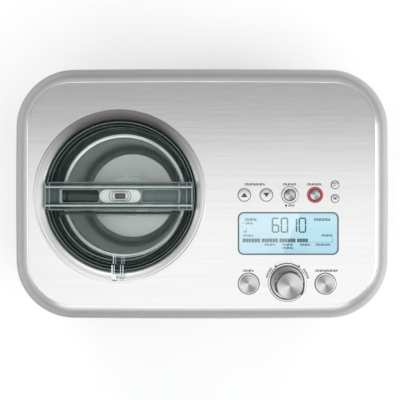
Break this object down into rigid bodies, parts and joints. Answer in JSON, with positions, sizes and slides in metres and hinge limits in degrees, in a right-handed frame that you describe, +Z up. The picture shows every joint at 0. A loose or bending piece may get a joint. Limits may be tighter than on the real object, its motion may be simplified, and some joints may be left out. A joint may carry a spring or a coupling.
{
  "type": "ice cream maker",
  "caption": "Compressor ice cream maker: steel casing, lift-out bowl with paddle and bail under a clear lid with handle and flap, display, knob and push buttons.",
  "frame": {"origin": "on the surface it stands on, under the middle of the casing", "axes": "+X to the user's right along the longer side, -Y to the front where the controls face the user, +Z up"},
  "size_m": [0.405, 0.272, 0.267],
  "materials": {
    "brushed_fascia": "horizontally brushed stainless sheet",
    "brushed_wrap": "brushed stainless sheet",
    "spun_collar": "smooth spun stainless",
    "clear_lid": "smoky clear moulded plastic",
    "bowl_aluminium": "satin anodised aluminium",
    "dark_plastic": "fine textured dark plastic",
    "rubber": "matt rubber",
    "white_plastic": "white moulded plastic",
    "grey_plastic": "pale grey moulded plastic",
    "foam": "rigid foam",
    "copper": "drawn copper tube",
    "black_steel": "black enamelled steel",
    "fin_aluminium": "folded aluminium fins",
    "circuit_board": "green solder mask",
    "display_glass": "backlit blue display behind a gloss window",
    "spun_button": "radially spun metal cap",
    "red_ring": "translucent red ring",
    "shaft_steel": "ground steel"
  },
  "bodies": {
    "housing": {"base_pan": "dark_plastic", "foot_front_left": "rubber", "foot_front_right": "rubber", "foot_rear_left": "rubber", "foot_rear_right": "rubber", "cord_gland": "rubber", "outer_wrap": "brushed_wrap", "vent_grille_side": "dark_plastic", "vent_grille_rear": "dark_plastic", "top_cover": "brushed_fascia", "well_collar": "spun_collar", "chamber": "bowl_aluminium", "spindle_seal": "rubber", "insulation_jacket": "foam", "gear_motor": "black_steel", "gearbox_housing": "dark_plastic", "gearbox_cover": "dark_plastic", "spindle_bush": "white_plastic", "evaporator_coil": "copper", "compressor": "black_steel", "compressor_bracket": "black_steel", "condenser": "fin_aluminium", "fan_shroud": "dark_plastic", "fan_motor": "black_steel", "suction_line": "copper", "discharge_line": "copper", "liquid_line": "copper", "filter_drier": "copper", "display_window": "display_glass", "display_module": "dark_plastic", "control_board": "circuit_board", "power_board": "circuit_board", "precool_ring": "spun_button", "keepcool_ring": "red_ring", "dial_dish": "spun_collar", "knob_encoder": "dark_plastic"},
    "bowl": {"bowl": "bowl_aluminium"},
    "bail": {"bowl_bail": "bowl_aluminium"},
    "paddle": {"paddle": "grey_plastic"},
    "lid": {"lid_disc": "clear_lid", "lid_handle": "clear_lid", "handle_end_left": "clear_lid", "handle_end_right": "clear_lid", "handle_plate": "grey_plastic", "lid_gasket": "rubber", "flap_hinge_pin": "shaft_steel"},
    "flap": {"lid_flap": "clear_lid"},
    "spindle": {"drive_spindle": "shaft_steel", "spindle_gear": "white_plastic"},
    "pinion": {"motor_pinion": "shaft_steel"},
    "fan": {"fan_rotor": "white_plastic"},
    "knob": {"control_knob": "spun_button"},
    "up_button": {"up_button": "spun_button"},
    "down_button": {"down_button": "spun_button"},
    "precool_button": {"precool_button": "spun_button"},
    "keepcool_button": {"keepcool_button": "spun_button"},
    "unit_button": {"unit_button": "spun_button"},
    "volume_button": {"volume_button": "spun_button"},
    "power_button": {"power_button": "spun_button"},
    "start_button": {"start_button": "spun_button"}
  },
  "joints": [
    {"name": "bowl_lift", "type": "slide", "parent": "housing", "child": "bowl", "axis": [0, 0, 1], "range_m": [0, 0.15]},
    {"name": "lid_lift", "type": "slide", "parent": "bowl", "child": "lid", "axis": [0, 0, 1], "range_m": [0, 0.12]},
    {"name": "flap_swing", "type": "hinge", "parent": "lid", "child": "flap", "pos_m": [-0.0877, -0.0208, 0.2343], "axis": [-1, 0, 0], "range_deg": [0, 100]},
    {"name": "bail_swing", "type": "hinge", "parent": "bowl", "child": "bail", "pos_m": [-0.0877, -0.0025, 0.1988], "axis": [1, 0, 0], "range_deg": [0, 90]},
    {"name": "paddle_turn", "type": "hinge", "parent": "bowl", "child": "paddle", "pos_m": [-0.0877, -0.0025, 0.118], "axis": [0, 0, 1], "continuous": true},
    {"name": "spindle_turn", "type": "hinge", "parent": "housing", "child": "spindle", "pos_m": [-0.0877, -0.0025, 0.061], "axis": [0, 0, 1], "continuous": true},
    {"name": "pinion_turn", "type": "hinge", "parent": "housing", "child": "pinion", "pos_m": [-0.0493, -0.0025, 0.066], "axis": [0, 0, 1], "continuous": true},
    {"name": "fan_turn", "type": "hinge", "parent": "housing", "child": "fan", "pos_m": [0.153, 0.03, 0.09], "axis": [1, 0, 0], "continuous": true},
    {"name": "knob_turn", "type": "hinge", "parent": "housing", "child": "knob", "pos_m": [0.0915, -0.095, 0.24], "axis": [0, 0, 1], "continuous": true},
    {"name": "up_press", "type": "slide", "parent": "housing", "child": "up_button", "axis": [0, 0, -1], "range_m": [0, 0.0015], "stiffness_N_per_m": 400, "springref_m": -0.001},
    {"name": "down_press", "type": "slide", "parent": "housing", "child": "down_button", "axis": [0, 0, -1], "range_m": [0, 0.0015], "stiffness_N_per_m": 400, "springref_m": -0.001},
    {"name": "precool_press", "type": "slide", "parent": "housing", "child": "precool_button", "axis": [0, 0, -1], "range_m": [0, 0.0015], "stiffness_N_per_m": 400, "springref_m": -0.001},
    {"name": "keepcool_press", "type": "slide", "parent": "housing", "child": "keepcool_button", "axis": [0, 0, -1], "range_m": [0, 0.0015], "stiffness_N_per_m": 400, "springref_m": -0.001},
    {"name": "unit_press", "type": "slide", "parent": "housing", "child": "unit_button", "axis": [0, 0, -1], "range_m": [0, 0.0015], "stiffness_N_per_m": 400, "springref_m": -0.001},
    {"name": "volume_press", "type": "slide", "parent": "housing", "child": "volume_button", "axis": [0, 0, -1], "range_m": [0, 0.0015], "stiffness_N_per_m": 400, "springref_m": -0.001},
    {"name": "power_press", "type": "slide", "parent": "housing", "child": "power_button", "axis": [0, 0, -1], "range_m": [0, 0.0015], "stiffness_N_per_m": 400, "springref_m": -0.001},
    {"name": "start_press", "type": "slide", "parent": "housing", "child": "start_button", "axis": [0, 0, -1], "range_m": [0, 0.0015], "stiffness_N_per_m": 400, "springref_m": -0.001}
  ],
  "couplings": [
    {"joint": "spindle_turn", "follows": "paddle_turn", "ratio": 1},
    {"joint": "pinion_turn", "follows": "paddle_turn", "ratio": -3},
    {"joint": "bail_swing", "follows": "lid_lift", "rad_per_m": 13}
  ]
}
